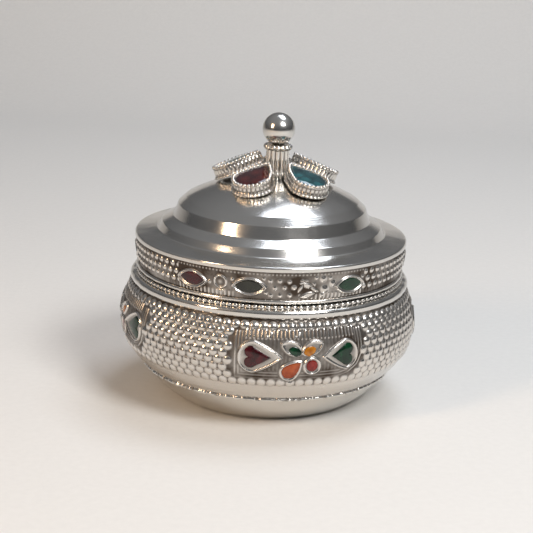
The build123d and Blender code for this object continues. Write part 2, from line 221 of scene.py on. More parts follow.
def enamel(name, shallow, deep, size):
    """Glossy enamel that shifts between two colours over patches of this size in mm."""
    material, tree, place = start_material(name)
    patches = {"Vector": place, "Scale": per_mm(size), "Detail": 3.0}
    patch = add_node(tree, "TexNoise", patches, "Fac")
    spread = {"Value": patch, "From Min": 0.35, "From Max": 0.65}
    depth = add_node(tree, "MapRange", spread, "Result")
    tints = {"Factor": depth, COLOUR_A: colour(shallow), COLOUR_B: colour(deep)}
    tint = add_node(tree, "Mix", tints, MIXED, data_type="RGBA")
    sheen = {"Value": patch, **NOISE_SPREAD, "To Min": 0.06, "To Max": 0.2}
    gloss = add_node(tree, "MapRange", sheen, "Result")
    bump = {"Height": patch, "Strength": 0.5, "Distance": 0.06 * MM}
    bump = add_node(tree, "Bump", bump, "Normal")
    shader = {"Base Color": tint, "Roughness": gloss, "IOR": 1.53, "Normal": bump}
    shader = add_node(tree, "BsdfPrincipled", shader, "BSDF")
    add_node(tree, "OutputMaterial", {"Surface": shader})
    return material


def foiled_glass(name, edge, glow, spark):
    """Glass cabochon on foil, its light painted into its colour: painted shade at the edge, painted glowing
    patches in the middle.
    """
    material, tree, place = start_material(name)
    # Painted light: the foil's glow is painted into the colour in cell-shaped patches, from glow up to bright
    # spark
    painted_glow_patches = {"Vector": place, "Scale": per_mm(2.2), "Randomness": 1.0}
    painted_glow_patches = add_node(tree, "TexVoronoi", painted_glow_patches, "Distance")
    painted_glow_share = {"Value": painted_glow_patches, "From Min": 0.15, "From Max": 0.75}
    painted_glow_share = add_node(tree, "MapRange", painted_glow_share, "Result")
    painted_foil_glow = {"Factor": painted_glow_share, COLOUR_A: colour(spark), COLOUR_B: colour(glow)}
    painted_foil_glow = add_node(tree, "Mix", painted_foil_glow, MIXED, data_type="RGBA")
    # Painted shade: where the surface turns from the view, the dark edge colour takes over from the painted
    # glow
    facing = add_node(tree, "LayerWeight", {"Blend": 0.35}, "Facing")
    tints = {"Factor": facing, COLOUR_A: painted_foil_glow, COLOUR_B: colour(edge)}
    tint = add_node(tree, "Mix", tints, MIXED, data_type="RGBA")
    shader = {"Base Color": tint, "Roughness": 0.04, "IOR": 1.55}
    shader.update({"Coat Weight": 0.6, "Coat Roughness": 0.03})
    shader = add_node(tree, "BsdfPrincipled", shader, "BSDF")
    add_node(tree, "OutputMaterial", {"Surface": shader})
    return material


INLAYS = {
    "garnet_enamel": enamel("wine_red_enamel", "#4C0C15", "#250409", 1.6),
    "green_enamel": enamel("dark_green_enamel", "#093820", "#041C10", 1.4),
    "olive_enamel": enamel("dark_olive_enamel", "#2C2E25", "#1B1C17", 1.8),
    "amber_enamel": enamel("amber_enamel", "#C07C24", "#8E4F11", 1.2),
    "orange_enamel": enamel("orange_enamel", "#AD4E1C", "#8A3510", 1.6),
    "red_enamel": enamel("brick_red_enamel", "#8E2217", "#66150E", 1.2),
    # Each glass: its dark edge colour, then the painted glow and the painted spark of light off the foil
    "garnet_glass": foiled_glass("foiled_wine_red_glass", "#1C0508", "#380A0E", "#641F1A"),
    "teal_glass": foiled_glass("foiled_blue_green_glass", "#04191D", "#0D3B42", "#34777E"),
    "green_glass": foiled_glass("foiled_dark_green_glass", "#04180F", "#0A3A26", "#266848"),
}
print(len(INLAYS), "inlay and glass finishes")

# %% [markdown]
# ## Round pieces
#
# A turned, spun or rolled piece is its section swept round the axis. One function makes all of
# them: it takes a closed section of radius and height in millimetres, and a relief, which says
# how far the skin stands out at each angle and height. Sculpting beads one by one would take
# thousands of pieces. A relief on a dense grid makes them as the die does, all in one sheet.

# %% Helpers for meshes
WELD_DISTANCE = 0.0002


def make_piece(name, points, faces, material, body, node, buffed=None, weld=False):
    """Mesh piece from points in mm, riding on a body and standing for a CAD node."""
    mesh = bpy.data.meshes.new(name)
    mesh.from_pydata((np.asarray(points, float) * MM).tolist(), [], faces)
    mesh.materials.append(material)
    layer = mesh.attributes.new("buffed", "FLOAT", "POINT")
    values = np.ones(len(points)) if buffed is None else np.asarray(buffed, float)
    layer.data.foreach_set("value", values.astype(np.float32))
    mesh.polygons.foreach_set("use_smooth", [True] * len(mesh.polygons))
    if weld:
        # Points on the axis coincide, and welding them turns their quads into a neat fan
        work = bmesh.new()
        work.from_mesh(mesh)
        bmesh.ops.remove_doubles(work, verts=work.verts, dist=WELD_DISTANCE * MM)
        work.to_mesh(mesh)
        work.free()
    mesh.validate()
    piece = bpy.data.objects.new(name, mesh)
    bpy.context.scene.collection.objects.link(piece)
    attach(piece, body)
    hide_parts(node)
    return piece


def turned(name, section, columns, material, body, node, relief=None, weld=False, shift=None):
    """Piece of revolution from a closed section, its outside going up, with a relief.

    columns is the number of steps round the axis, and shift gives how far a point at some
    radius moves in X, for a piece off the box's axis.
    """
    section = np.asarray(section, float)
    run = np.roll(section, -1, axis=0) - np.roll(section, 1, axis=0)
    run /= np.maximum(np.linalg.norm(run, axis=1, keepdims=True), 1e-9)
    angle = np.arange(columns)[None, :] * 360.0 / columns
    radius, height = section[:, :1], section[:, 1:]
    lift, buffed = np.zeros((len(section), columns)), np.ones((len(section), columns))
    if relief:
        lift, buffed = relief(angle, radius, height)
    r = radius + lift * run[:, 1:]
    z = height - lift * run[:, :1]
    turn = np.radians(angle)
    aside = shift(r) if shift else 0
    points = np.stack([r * np.sin(turn) + aside, -r * np.cos(turn), z], -1).reshape(-1, 3)
    # A quad joins each point to the next one round and the next one along the section
    this = np.arange(r.size).reshape(r.shape)
    after = np.roll(this, -1, axis=0)
    faces = [this, np.roll(this, -1, axis=1), np.roll(after, -1, axis=1), after]
    faces = np.stack(faces, -1).reshape(-1, 4).tolist()
    return make_piece(name, points, faces, material, body, node, buffed.reshape(-1), weld)


def shell(loops, low, high):
    """Points and faces of loops stacked one on another, closed to a point at each end."""
    count = len(loops[0])
    points = [point for loop in loops for point in loop] + [low, high]
    last = (len(loops) - 1) * count
    faces = []
    for k in range(count):
        n = (k + 1) % count
        faces += [(row + k, row + n, row + count + n, row + count + k) for row in range(0, last, count)]
        faces += [(n, k, len(points) - 2), (last + k, last + n, len(points) - 1)]
    return points, faces


def rounded(corners, radii, steps=6):
    """Closed section with each corner rounded by its own radius."""
    corners = [np.array(c, float) for c in corners]
    points = []
    for k, corner in enumerate(corners):
        to_last = corners[k - 1] - corner
        to_next = corners[(k + 1) % len(corners)] - corner
        last_length, next_length = np.linalg.norm(to_last), np.linalg.norm(to_next)
        to_last, to_next = to_last / last_length, to_next / next_length
        half = math.acos(max(-1, min(1, float(to_last @ to_next)))) / 2
        cut = min(radii[k] / math.tan(half) if half > 0.01 else 0, 0.48 * last_length, 0.48 * next_length)
        if radii[k] == 0 or cut < 1e-6:
            points.append(corner)
            continue
        radius = cut * math.tan(half)
        middle = corner + (to_last + to_next) / np.linalg.norm(to_last + to_next) * radius / math.sin(half)
        start, end = corner + to_last * cut - middle, corner + to_next * cut - middle
        for s in np.linspace(0, 1, steps + 1):
            blend = start * (1 - s) + end * s
            points.append(middle + blend / np.linalg.norm(blend) * radius)
    return np.array(points)


def dense(section, step):
    """The same closed section with points no further apart than step."""
    section = np.asarray(section, float)
    out = []
    for start, end in zip(section, np.roll(section, -1, axis=0)):
        count = max(1, int(math.ceil(np.linalg.norm(end - start) / step)))
        out += [start + (end - start) * k / count for k in range(count)]
    return np.array(out)


def smoothstep(value, low, high):
    """0 below low, 1 above high and a soft rise between."""
    t = np.clip((value - low) / (high - low), 0, 1)
    return t * t * (3 - 2 * t)


def stretch(value, low, low_end, high, high_end):
    """1 over a stretch of values, with a soft rise before it and a soft fall after it."""
    return smoothstep(value, low, low_end) * (1 - smoothstep(value, high, high_end))


def ridge(far, width):
    """Height of a soft ridge, 1 at its top, for a point this far from its middle."""
    return np.exp(-((far / width) ** 2))


def dome(far, reach):
    """Height of a round bead, 1 at its top, for a point this far from its middle."""
    return np.clip(1 - (far / reach) ** 2, 0, None)


def turned_from(angle, middle):
    """Angle from a middle, between -180 and 180 degrees."""
    return (angle - middle + 180) % 360 - 180


square = rounded([(1, 0), (2, 0), (2, 1), (1, 1)], [0.2] * 4)
print("a square section with rounded corners has", len(square), "points")

# %% [markdown]
# ## Outlines of the inlays
#
# Each inlay and each raised cell has a flat outline in millimetres: a heart, a leaf, a drop or a
# pear, built from a few arcs, as the die maker would draw it. The distance of a point from an
# outline is the tool for everything pressed round it: ridges, dished floors and clear borders
# are all heights that depend on that distance.

# %% Outlines and distances


def arc(start, through, end, steps=14):
    """Points on the circle through three points, the last one left out."""
    (ax, ay), (bx, by), (cx, cy) = start, through, end
    d = 2 * (ax * (by - cy) + bx * (cy - ay) + cx * (ay - by))
    ux = ((ax**2 + ay**2) * (by - cy) + (bx**2 + by**2) * (cy - ay) + (cx**2 + cy**2) * (ay - by)) / d
    uy = ((ax**2 + ay**2) * (cx - bx) + (bx**2 + by**2) * (ax - cx) + (cx**2 + cy**2) * (bx - ax)) / d
    radius = math.hypot(ax - ux, ay - uy)
    a0, a1, a2 = (math.atan2(y - uy, x - ux) for x, y in (start, through, end))
    sweep = (a2 - a0) % (2 * math.pi)
    if (a1 - a0) % (2 * math.pi) > sweep:
        sweep -= 2 * math.pi
    turns = [a0 + sweep * k / steps for k in range(steps)]
    return [(ux + radius * math.cos(a), uy + radius * math.sin(a)) for a in turns]


def mirrored(upper, end):
    """Closed outline from its upper half, which runs to end on the middle line."""
    upper = np.array([*upper, end], float)
    outline = np.vstack([upper, upper[-2:0:-1] * (1, -1)])
    x, y = outline.T
    area = np.sum(x * np.roll(y, -1) - y * np.roll(x, -1))
    return outline if area > 0 else outline[::-1]


def heart(length, width, tip):
    """Heart about its middle, its tip towards +X or -X."""
    point, side = (tip * length / 2, 0), (-tip * 0.12 * length, width / 2)
    notch = (-tip * 0.36 * length, 0)
    straight = [point, ((point[0] + side[0]) / 2, side[1] / 2)]
    return mirrored(straight + arc(side, (-tip * length / 2, 0.27 * width), notch), notch)


def blunt_heart(length, width, tip):
    """Heart without its notch, as the ridge round a heart runs."""
    point, side, blunt = (tip * length / 2, 0), (-tip * 0.14 * length, width / 2), (-tip * length / 2, 0)
    bowed = (tip * 0.18 * length, 0.30 * width)
    first = arc(point, bowed, side)
    return mirrored(first + arc(side, (-tip * 0.41 * length, 0.34 * width), blunt), blunt)


def leaf(length, width):
    """Pointed oval about its middle."""
    return mirrored(arc((-length / 2, 0), (0, width / 2), (length / 2, 0), 24), (length / 2, 0))


def drop(length, width, tip):
    """Drop about its middle, its tip towards +X or -X."""
    point, shoulder = (tip * length / 2, 0), (-tip * (length - width) / 2, width / 2)
    blunt = (-tip * length / 2, 0)
    first = arc(point, (tip * 0.18 * length, 0.36 * width), shoulder)
    second = arc(shoulder, (-tip * (length / 2 - 0.08 * width), 0.27 * width), blunt)
    return mirrored(first + second, blunt)


def pear(length, width):
    """Pear with its tip at the origin and its round end along +X."""
    shoulder, blunt = (length - width / 2, width / 2), (length, 0)
    first = arc((0, 0), (0.33 * length, 0.34 * width), shoulder)
    return mirrored(first + arc(shoulder, (length - 0.02 * width, 0.14 * width), blunt), blunt)


def disc(radius):
    """Circle about its middle."""
    turns = np.linspace(0, 2 * math.pi, 40, endpoint=False)
    return np.stack([radius * np.cos(turns), radius * np.sin(turns)], -1)


def distance(x, y, outline):
    """Distance in mm of each point from a closed outline, negative inside it."""
    best = np.full(np.broadcast(x, y).shape, np.inf)
    inside = np.zeros(best.shape, bool)
    for (ax, ay), (bx, by) in zip(outline, np.roll(outline, -1, axis=0)):
        ex, ey = bx - ax, by - ay
        along = np.clip(((x - ax) * ex + (y - ay) * ey) / (ex * ex + ey * ey + 1e-12), 0, 1)
        best = np.minimum(best, np.hypot(x - ax - along * ex, y - ay - along * ey))
        if ey:
            inside ^= ((ay > y) != (by > y)) & (x < ax + (y - ay) * ex / ey)
    return np.where(inside, -best, best)


def across_and_up(at, up, radius, height, tilt, angle):
    """Flat coordinates, in mm, of skin points, seen square on from outside at an angle."""
    # Whatever lies more than a quarter turn away is put at the far left or right
    side = radius * np.sin(np.radians(np.clip(turned_from(angle, at), -90, 90)))
    rise = height - up
    c, s = math.cos(math.radians(tilt)), math.sin(math.radians(tilt))
    return side * c + rise * s, -side * s + rise * c


print("a heart outline has", len(heart(9.2, 6.6, 1)), "points")

# %% [markdown]
# ## Embossed bowl wall
#
# The wall is a barrel-shaped strip. Nine rows of round beads run about it, each row set half a
# bead over from the last, 100 beads to the turn. Four panels break them: in each, two hearts
# point at a small flower of two wings, a drop and a dot, between short upright ribs that hang
# from the top like a fringe. Three fine lines ring the wall below the beads.

# %% Sizes of the bowl wall and its panels
BELLY_CENTRE = (18.9, 17.3)
BELLY_CURVE = 13.1
WALL_SHEET = 0.8
WALL_BOTTOM, WALL_TOP = 7.0, 25.0
WALL_COLUMNS = 1300
WALL_STEPS_OUTSIDE, WALL_STEPS_INSIDE = 128, 20
BEADS_ROUND = 100
BEAD_ROWS = 9
BEAD_ROW_GAP = math.degrees(1.52 / BELLY_CURVE)
FIRST_ROW = 30.2
BEAD_REACH, BEAD_HEIGHT = 1.08, 0.40
BEAD_PHASE = -1.3
PANELS = [13.3 + 90 * k for k in range(4)]
PANEL_RADIUS = 32.0
PANEL_TOP = 23.15
PANEL_OUTLINE = np.array(
    [(-13.9, 12.9), (8.2, 12.9), (10.6, 13.5), (12.6, 15.2), (13.6, 17.6)]
    + [(13.7, PANEL_TOP), (-13.9, PANEL_TOP)]
)
# The same outline carried on upwards: its sides and lower edge have border lines, its top none
PANEL_SIDES = np.where(PANEL_OUTLINE == PANEL_TOP, 34.0, PANEL_OUTLINE)
BEAD_CLEARANCE = 0.35
# Border lines by depth inside the panel's edge and height, fine lines by place and height
BORDER_LINES, BORDER_WIDTH = ((0.3, 0.2), (1.0, 0.18), (1.65, 0.12)), 0.17
FINE_LINES, FINE_WIDTH = ((10.45, 0.07), (9.7, 0.07), (8.9, 0.05)), 0.16
# The border lines end softly below the top, and are low at the foot
BORDER_TOP, BORDER_FOOT, FOOT_SHARE = (22.6, 23.0), (13.4, 14.6), 0.4
RIBS_ROUND, HATCH_HEIGHT, FRINGE_EXTRA = 246, 0.07, 0.17
FRINGE_STRETCH = (21.2, 21.7, 23.1, 23.4)
FLOOR_START = (1.9, 2.2)
SCALLOPS, SCALLOP_RADIUS, SCALLOP_HEIGHT = ((-6.9, 22.5), (-1.1, 22.5)), 0.62, 0.2
BUFFED_DEPTH = 0.3
PLAIN_WALL = (10.8, 12.0)

# Name, middle of cell and of inlay (across, up), tilt, outline of cell, outline of inlay
LEAF_CELL, LEAF_INLAY = leaf(5.2, 2.9), leaf(2.8, 1.9)
PANEL_INLAYS = [
    ("garnet_heart", (-8.5, 17.8), (-9.0, 17.8), 0, blunt_heart(9.2, 6.6, 1), heart(5.4, 3.9, 1)),
    ("green_heart", (8.2, 17.8), (8.7, 17.8), 0, blunt_heart(8.2, 6.4, -1), heart(4.9, 4.4, -1)),
    ("green_leaf", (-2.1, 19.7), (-1.5, 19.1), -24, LEAF_CELL, LEAF_INLAY),
    ("amber_leaf", (2.1, 19.7), (1.5, 19.1), 24, LEAF_CELL, LEAF_INLAY),
    ("orange_drop", (-2.0, 15.3), (-2.0, 15.3), 42, drop(5.6, 4.0, 1), drop(4.6, 3.0, 1)),
    ("red_dot", (2.1, 16.0), (2.1, 16.0), 0, disc(1.9), disc(1.2)),
]
STONE_SINK = 0.2
CELL_FLOOR, CELL_DISH, DISH_REACH = 0.10, 0.12, 1.6
RIDGE_HEIGHT, RIDGE_INSET, RIDGE_WIDTH = 0.34, 0.22, 0.2
# Under an inlay the floor drops away
POCKET_EDGE, POCKET_FLOOR = -0.12, -STONE_SINK + 0.05
# Cells reach less than this many degrees from their middles, so the rest is skipped
CELL_SPAN = 14
print(len(PANELS), "panels with", len(PANEL_INLAYS), "inlays each")

# %% Reliefs that the bowl and the band share


def to_bead(angle, radius, rise, pitch, first):
    """Distance in mm to the nearest bead of a row, and the angle of that bead's middle."""
    middle = np.round((angle - first) / pitch) * pitch + first
    return np.hypot(np.radians(angle - middle) * radius, rise), middle


def cell_relief(edge, inlay_edge, lift):
    """Height of a pressed cell: a thin ridge round it, a floor dished towards its inlay."""
    floor = CELL_FLOOR + CELL_DISH * np.clip(inlay_edge / DISH_REACH, 0, 1)
    inside = smoothstep(-edge, -0.05, 0.3)
    held = lift * (1 - inside) + floor * inside
    held = held + RIDGE_HEIGHT * ridge(edge + RIDGE_INSET, RIDGE_WIDTH)
    return np.where(inlay_edge < POCKET_EDGE, POCKET_FLOOR, held)


def press_cell(lift, skin, cell_at, inlay_at, tilt, cell, inlay, border):
    """Presses a cell into a relief and clears a border round it, in mm."""
    angle, radius, height = skin
    columns = np.nonzero(np.abs(turned_from(angle[0], cell_at[0])) < CELL_SPAN)[0]
    seen = (radius, height, tilt, angle[:, columns])
    edge = distance(*across_and_up(*cell_at, *seen), cell)
    inlay_edge = distance(*across_and_up(*inlay_at, *seen), inlay)
    part = lift[:, columns]
    raised = cell_relief(edge, inlay_edge, part * smoothstep(edge, 0, border))
    lift[:, columns] = np.where(edge < border + 0.1, raised, part)


print("a cell's ridge is", RIDGE_HEIGHT, "mm high")

# %% Relief of the bowl wall


def wall_radius(z, out=0.0):
    """Radius of the bowl wall at a height, for a skin this far outside it."""
    return BELLY_CENTRE[0] + np.sqrt((BELLY_CURVE + out) ** 2 - (z - BELLY_CENTRE[1]) ** 2)


def panel_distance(angle, height, outline):
    """Distance in mm from the nearest panel's outline, negative inside it."""
    across = [np.radians(turned_from(angle, middle)) * PANEL_RADIUS for middle in PANELS]
    return np.minimum.reduce([distance(x, height, outline) for x in across])


def wall_beads(angle, radius, arc_angle):
    """Rows of beads. Rows beside the panels leave out each bead that would touch one."""
    lift = np.zeros((radius.shape[0], angle.shape[1]))
    pitch = 360.0 / BEADS_ROUND
    for row in range(BEAD_ROWS):
        row_angle = FIRST_ROW - row * BEAD_ROW_GAP
        rise = np.radians(arc_angle - row_angle) * BELLY_CURVE
        far, bead = to_bead(angle, radius, rise, pitch, BEAD_PHASE + (row % 2) * pitch / 2)
        beads = BEAD_HEIGHT * dome(far, BEAD_REACH)
        if 0 < row < BEAD_ROWS - 1:
            row_height = BELLY_CENTRE[1] + BELLY_CURVE * math.sin(math.radians(row_angle))
            beads = beads * (panel_distance(bead, row_height, PANEL_OUTLINE) > BEAD_CLEARANCE)
        lift = np.maximum(lift, beads)
    return lift


def wall_relief(angle, radius, height):
    """How far the bowl wall's skin stands out, in mm, and how well each point is buffed."""
    out, up = radius - BELLY_CENTRE[0], height - BELLY_CENTRE[1]
    outer = np.hypot(out, up) > BELLY_CURVE - WALL_SHEET / 2
    lift = wall_beads(angle, radius, np.degrees(np.arctan2(up, out)))
    # Border lines just inside the panel, on its sides and its lower edge
    in_panel = panel_distance(angle, height, PANEL_SIDES)
    fade = 1 - smoothstep(height, *BORDER_TOP)
    fade = fade * (FOOT_SHARE + (1 - FOOT_SHARE) * smoothstep(height, *BORDER_FOOT))
    for depth, tall in BORDER_LINES:
        lift = lift + tall * ridge(in_panel + depth, BORDER_WIDTH) * fade
    # The fringe of ribs hangs from the top, and shallower ribs hatch the rest of the floor
    rib = 0.5 + 0.5 * np.cos(np.radians(angle) * RIBS_ROUND)
    hatch = HATCH_HEIGHT + FRINGE_EXTRA * stretch(height, *FRINGE_STRETCH)
    hatch = hatch * (height < FRINGE_STRETCH[-1]) * smoothstep(-in_panel, *FLOOR_START)
    lift = np.maximum(lift, rib * hatch)
    for low, tall in FINE_LINES:
        lift = lift + tall * ridge(height - low, FINE_WIDTH)
    for middle in PANELS:
        for across, low in SCALLOPS:
            turn = middle + math.degrees(across / PANEL_RADIUS)
            side, rise = across_and_up(turn, low, radius, height, 0, angle)
            scallop = ridge(np.hypot(side, rise) - SCALLOP_RADIUS, FINE_WIDTH) * (rise < 0.2)
            lift = np.maximum(lift, SCALLOP_HEIGHT * scallop)
        for _, cell_at, inlay_at, tilt, cell, inlay in PANEL_INLAYS:
            places = [(middle + math.degrees(x / PANEL_RADIUS), z) for x, z in (cell_at, inlay_at)]
            press_cell(lift, (angle, radius, height), *places, tilt, cell, inlay, 0.5)
    ends = stretch(height, WALL_BOTTOM + 0.1, WALL_BOTTOM + 0.5, WALL_TOP - 0.4, WALL_TOP)
    lift = np.where(outer, lift * ends, 0)
    buffed = np.clip(lift / BUFFED_DEPTH, 0, 1) + 1 - smoothstep(height, *PLAIN_WALL)
    return lift, np.where(outer, np.clip(buffed, 0, 1), 1)


# %% Press the bowl wall
low_arc, high_arc = (math.asin((z - BELLY_CENTRE[1]) / BELLY_CURVE) for z in (WALL_BOTTOM, WALL_TOP))
wall_section = []
for start, end, steps, inset in (
    (low_arc, high_arc, WALL_STEPS_OUTSIDE, 0), (high_arc, low_arc, WALL_STEPS_INSIDE, WALL_SHEET)
):
    heights = BELLY_CENTRE[1] + BELLY_CURVE * np.sin(np.linspace(start, end, steps))
    wall_section += [(wall_radius(z) - inset, z) for z in heights]
bowl_wall = turned(
    "embossed_bowl_wall", wall_section, WALL_COLUMNS, pressed_silver, "bowl",
    "bowl_wall", wall_relief,
)
print("bowl wall has", len(bowl_wall.data.vertices), "points")

# %% [markdown]
# ## Inlays of the bowl
#
# An inlay is a drop of enamel that has pooled in its cell: upright at the edge, swelling to a
# low dome. Its outline is drawn in rings that shrink to the middle while they rise. The rings
# are laid on the wall's curve, so the piece fits the belly and doesn't float off it.

# %% Domed inlays
OUTLINE_STEP = 0.16
# Heights of an inlay's underside, of the edge that it rises from and of its top
BOWL_INLAY = (-STONE_SINK, 0.10, 0.30)


def domed(name, outline, middle, place, heights, body, slot, node, rings=9, power=1.0):
    """Domed piece: outline at its base and edge, then rings that shrink and rise to the top."""
    base, edge, top = heights
    outline = dense(outline, OUTLINE_STEP)
    middle = np.array(middle, float)
    levels = [(1.0, base), (1.0, edge)]
    for k in range(1, rings):
        turn = math.pi / 2 * k / rings
        levels.append((math.cos(turn), edge + (top - edge) * math.sin(turn) ** power))
    loops = [[place(*(middle + (p - middle) * scale), h) for p in outline] for scale, h in levels]
    points, faces = shell(loops, place(*middle, base), place(*middle, top))
    make_piece(name, points, faces, INLAYS[slot], body, node)


def on_skin(angle, height, tilt, skin):
    """Function that lays a flat point, raised by some height, on a skin of revolution."""
    turn, lean = math.radians(angle), math.radians(tilt)

    def place(x, y, out):
        side = x * math.cos(lean) - y * math.sin(lean)
        z = height + x * math.sin(lean) + y * math.cos(lean)
        r = float(skin(z, out))
        forward = math.sqrt(max(r * r - side * side, 0))
        return (
            forward * math.sin(turn) + side * math.cos(turn),
            -forward * math.cos(turn) + side * math.sin(turn),
            z,
        )

    return place


for panel, panel_middle in enumerate(PANELS, start=1):
    for name, _, inlay_at, tilt, _, inlay in PANEL_INLAYS:
        slot = name.split("_")[0] + "_enamel"
        turn = panel_middle + math.degrees(inlay_at[0] / PANEL_RADIUS)
        domed(
            f"{name}_inlay_{panel}", inlay, (0, 0), on_skin(turn, inlay_at[1], tilt, wall_radius),
            BOWL_INLAY, "bowl", slot, f"{name}_{panel}", power=0.8,
        )
print(len(PANELS) * len(PANEL_INLAYS), "inlays on the bowl")

# %% [markdown]
# ## Lid band
#
# The band is a narrow strip that flares by less than a millimetre. Three patterns of 120 degrees
# run round it: a wine-red, an olive and a green pointed oval, a boss in a ring, a cluster of
# dots, a leaf sprig, and then three rows of round beads on upright ribs. A fringe of ribs
# stands on the lower edge under the ovals.

# %% Sizes of the lid band
BAND_BOTTOM, BAND_TOP = 28.8, 34.6
BAND_RADII = (28.5, 29.2)
BAND_SHEET = 0.6
BAND_COLUMNS, BAND_STEPS = 1440, 62
PATTERN, PATTERN_TURNS = 120, (0, 120, 240)
BAND_BEADS, FIRST_BAND_BEAD, BAND_BEAD_HEIGHT, BAND_BEAD_REACH = 102, 40.4, 0.38, 0.7
# Height of each row of beads, and by how much of a bead it is set over
BAND_ROWS = ((33.6, 0.5), (32.05, 1.0), (30.45, 0.5))
BAND_RIBS, BAND_RIB_HEIGHT, BAND_FRINGE_HEIGHT = 204, 0.04, 0.16
# Degrees from the pattern's middle where the beads and the fringe start, and heights where ribs end
BEADED_START, FRINGE_START = (39.8, 41.0), (12.0, 14.0)
BAND_RIBS_END, BAND_FRINGE_END = (33.0, 33.4), (29.9, 30.4)
TINY_BEADS, TINY_BEADS_AT, TINY_BEAD_HEIGHT, TINY_BEAD_WIDTH = 240, 34.15, 0.14, 0.22
OVAL_HEIGHT = 31.4
OVALS = (("red", "garnet_enamel", -32.5), ("olive", "olive_enamel", -7.8), ("green", "green_enamel", 34.6))
OVAL_CELL, OVAL_INLAY = leaf(7.4, 3.9), leaf(5.7, 2.7)
BAND_INLAY = (-STONE_SINK, 0.08, 0.28)
BAND_BUFFED_DEPTH = 0.22
# Small bosses of each pattern: angle, height, reach and rise in mm
BOSSES = [
    (0.6, 32.8, 0.42, 0.26), (4.3, 32.8, 0.42, 0.26), (8.2, 32.7, 0.42, 0.26),
    (2.5, 31.3, 0.42, 0.26), (6.3, 31.4, 0.42, 0.26), (10.1, 31.5, 0.48, 0.3),
    (0.9, 29.7, 0.42, 0.26), (4.6, 29.7, 0.42, 0.26), (8.5, 29.8, 0.42, 0.26),
    (13.3, 32.8, 0.4, 0.26), (14.9, 32.7, 0.4, 0.26), (17.9, 32.0, 0.42, 0.3),
    (21.9, 33.1, 0.6, 0.4), (22.9, 30.9, 0.75, 0.45), (22.0, 29.7, 0.42, 0.28),
    (26.2, 32.0, 0.62, 0.42), (25.0, 33.2, 0.4, 0.26), (-19.4, 30.5, 0.75, 0.4),
    (-24.4, 31.4, 0.4, 0.3), (-14.6, 32.6, 0.36, 0.26), (-2.0, 33.2, 0.34, 0.22),
    (-1.0, 30.2, 0.36, 0.22), (40.6, 32.6, 0.4, 0.26), (18.9, 33.4, 0.36, 0.24),
]
# Leaves of the sprig: angle, height, tilt and outline
SPRIG_HEIGHT = 0.24
SPRIG_LEAVES = [
    (15.2, 31.9, -18, leaf(3.6, 1.3)), (16.0, 29.9, 16, leaf(3.8, 1.3)),
    (12.6, 31.2, 60, leaf(2.2, 0.9)), (18.6, 30.9, -30, leaf(2.4, 0.9)),
]
# The boss in a ring: angle and height, radius, rise and width of the ring, the same of the boss
RING_AT, RING_RADIUS = (-19.6, 31.8), 1.25
RING_RISE, RING_WIDTH, RING_BOSS_RISE, RING_BOSS_REACH = 0.3, 0.2, 0.12, 0.5
print(len(BOSSES), "bosses and", len(SPRIG_LEAVES), "leaves in each pattern")

# %% Relief of the lid band


def band_radius(z, out=0.0):
    """Radius of the lid band at a height, for a skin this far outside it."""
    low, high = BAND_RADII
    return low + out + (high - low) * (z - BAND_BOTTOM) / (BAND_TOP - BAND_BOTTOM)


def band_texture(angle, radius, height):
    """Rows of beads on ribs, the fringe under the ovals, and tiny beads along the top edge."""
    local = (angle + PATTERN / 2) % PATTERN - PATTERN / 2
    beaded = smoothstep(np.abs(local - 1.0), *BEADED_START)
    rib = 0.5 + 0.5 * np.cos(np.radians(angle) * BAND_RIBS)
    lift = BAND_RIB_HEIGHT * rib * beaded * (1 - smoothstep(height, *BAND_RIBS_END))
    pitch = 360.0 / BAND_BEADS
    for row_height, shift in BAND_ROWS:
        first = FIRST_BAND_BEAD + shift * pitch
        far, _ = to_bead(angle, radius, height - row_height, pitch, first)
        lift = np.maximum(lift, BAND_BEAD_HEIGHT * dome(far, BAND_BEAD_REACH) * beaded)
    # The fringe is tall under the ovals and absent under the dots
    under = smoothstep(np.abs(local + 1.0), *FRINGE_START) * (1 - beaded)
    lift = lift + BAND_FRINGE_HEIGHT * rib * under * (1 - smoothstep(height, *BAND_FRINGE_END))
    far, _ = to_bead(angle, radius, height - TINY_BEADS_AT, 360.0 / TINY_BEADS, 0)
    return np.maximum(lift, TINY_BEAD_HEIGHT * ridge(far, TINY_BEAD_WIDTH) * (1 - beaded))


def band_relief(angle, radius, height):
    """How far the lid band's skin stands out, in mm, and how well each point is buffed."""
    outer = radius > band_radius(height) - BAND_SHEET / 2
    lift = band_texture(angle, radius, height)
    for turn in PATTERN_TURNS:
        for at, up, reach, rise in BOSSES:
            far = np.hypot(*across_and_up(at + turn, up, radius, height, 0, angle))
            lift = np.maximum(lift, rise * ridge(far, reach))
        far = np.hypot(*across_and_up(RING_AT[0] + turn, RING_AT[1], radius, height, 0, angle))
        ring = RING_RISE * ridge(far - RING_RADIUS, RING_WIDTH) + RING_BOSS_RISE * ridge(far, RING_BOSS_REACH)
        lift = np.where(far < RING_RADIUS + 0.5, ring, lift)
        for at, up, tilt, shape in SPRIG_LEAVES:
            edge = distance(*across_and_up(at + turn, up, radius, height, tilt, angle), shape)
            raised = SPRIG_HEIGHT * smoothstep(-edge, -0.1, 0.4)
            raised = np.maximum(lift * smoothstep(edge, 0, 0.3), raised)
            lift = np.where(edge < 0.5, raised, lift)
        for _, _, at in OVALS:
            place = (at + turn, OVAL_HEIGHT)
            press_cell(lift, (angle, radius, height), place, place, 0, OVAL_CELL, OVAL_INLAY, 0.4)
    ends = stretch(height, BAND_BOTTOM, BAND_BOTTOM + 0.25, BAND_TOP - 0.2, BAND_TOP)
    lift = np.where(outer, lift * ends, 0)
    return lift, np.where(outer, np.clip(lift / BAND_BUFFED_DEPTH, 0, 1), 1)


